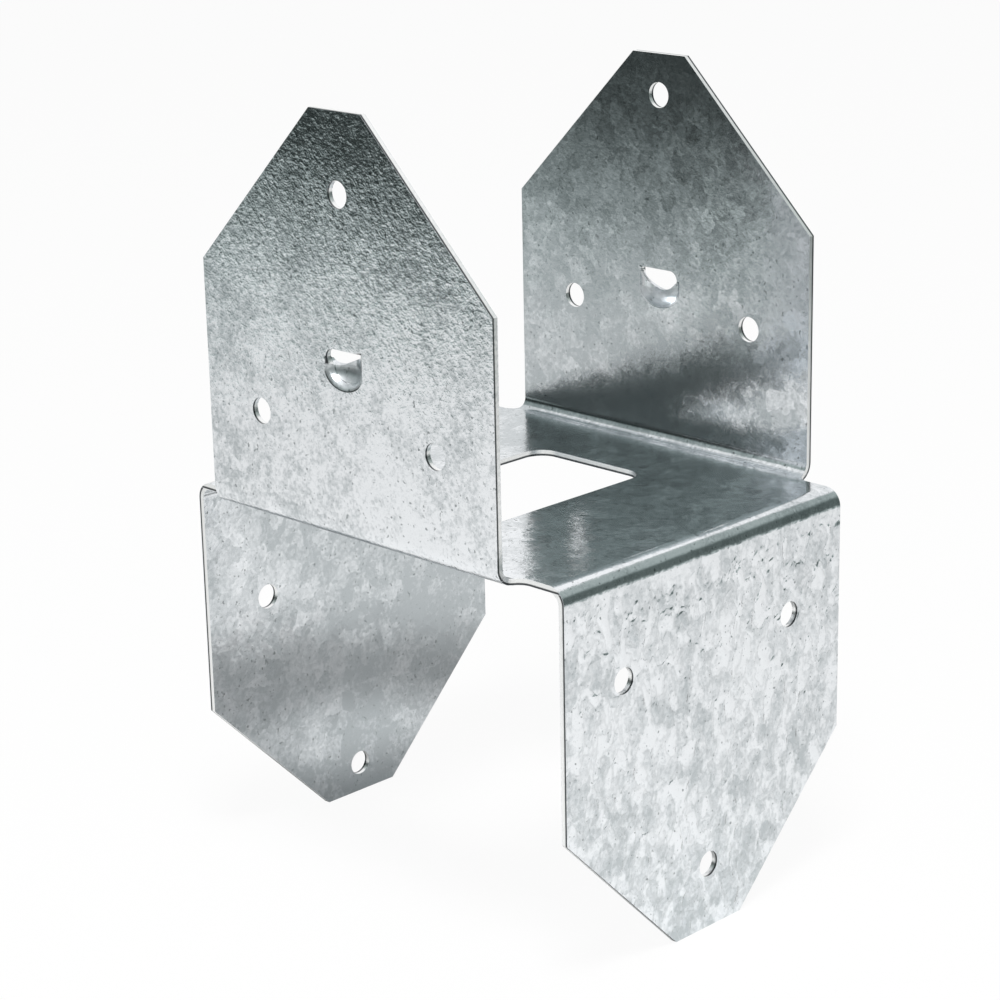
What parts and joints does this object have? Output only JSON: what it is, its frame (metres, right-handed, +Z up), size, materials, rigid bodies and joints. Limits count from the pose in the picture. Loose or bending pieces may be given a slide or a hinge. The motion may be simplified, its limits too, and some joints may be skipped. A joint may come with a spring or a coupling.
{
  "type": "post cap",
  "caption": "Folded galvanised steel cap that ties a beam to a post: pointed nailing flanges up on one axis and down on the other, joined by a plate with an opening.",
  "frame": {"origin": "middle of the plate's underside, where the head of the post bears", "axes": "+Z up, from the post to the beam; X along the beam, across the two lower flanges; Y across the beam, from one upper flange to the other"},
  "size_m": [0.093, 0.082, 0.1474],
  "materials": {
    "galvanised_steel": "hot-dip galvanised, spangled, semi-gloss"
  },
  "bodies": {
    "root": {"cap_sheet": "galvanised_steel"}
  },
  "joints": []
}
